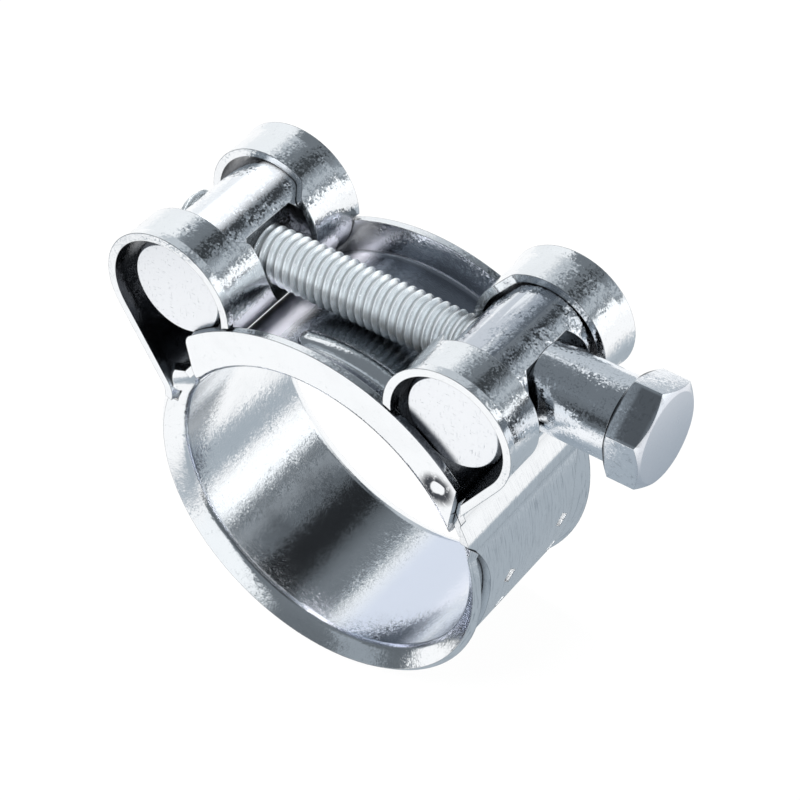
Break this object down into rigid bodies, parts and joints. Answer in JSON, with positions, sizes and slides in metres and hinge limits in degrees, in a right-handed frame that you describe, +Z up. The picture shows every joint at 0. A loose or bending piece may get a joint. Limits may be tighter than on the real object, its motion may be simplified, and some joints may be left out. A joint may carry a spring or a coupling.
{
  "type": "hinged hose clamp",
  "caption": "Bolt hose clamp in bright zinc-plated steel: lipped band with slotted eyes, saddle bridge, swivelling trunnion bars, hex bolt and spacer sleeve.",
  "frame": {"origin": "centre of the hose bore, half way along the band's width", "axes": "+Y along the bore, away from the side that the clamp is seen from; +X along the bolt towards its head; +Z up from the bore to the bolt"},
  "size_m": [0.0589, 0.0218, 0.0491],
  "materials": {
    "band_steel": "bright zinc plate",
    "bridge_steel": "bright zinc plate",
    "trunnion_steel": "bright zinc plate, slightly speckled",
    "sleeve_steel": "bright zinc plate",
    "bolt_steel": "zinc plate, matt on the thread"
  },
  "bodies": {
    "band": {"band": "band_steel", "bridge": "bridge_steel"},
    "nut_trunnion": {"nut_trunnion": "trunnion_steel"},
    "plain_trunnion": {"plain_trunnion": "trunnion_steel"},
    "spacer": {"spacer_sleeve": "sleeve_steel"},
    "bolt": {"bolt": "bolt_steel"}
  },
  "joints": [
    {"name": "nut_trunnion_swivel", "type": "hinge", "parent": "band", "child": "nut_trunnion", "pos_m": [-0.01665, 0, 0.022], "axis": [0, 1, 0], "range_deg": [-0.8, 0.8]},
    {"name": "plain_trunnion_swivel", "type": "hinge", "parent": "band", "child": "plain_trunnion", "pos_m": [0.01665, 0, 0.022], "axis": [0, 1, 0], "range_deg": [-0.8, 0.8]},
    {"name": "bolt_travel", "type": "slide", "parent": "nut_trunnion", "child": "spacer", "axis": [1, 0, 0], "range_m": [0, 0.008]},
    {"name": "bolt_turn", "type": "hinge", "parent": "spacer", "child": "bolt", "pos_m": [0, 0, 0.022], "axis": [1, 0, 0], "range_deg": [0, 2880]}
  ],
  "couplings": [
    {"joint": "plain_trunnion_swivel", "follows": "nut_trunnion_swivel", "ratio": 1},
    {"joint": "bolt_turn", "follows": "bolt_travel", "rad_per_m": 6283.2}
  ]
}
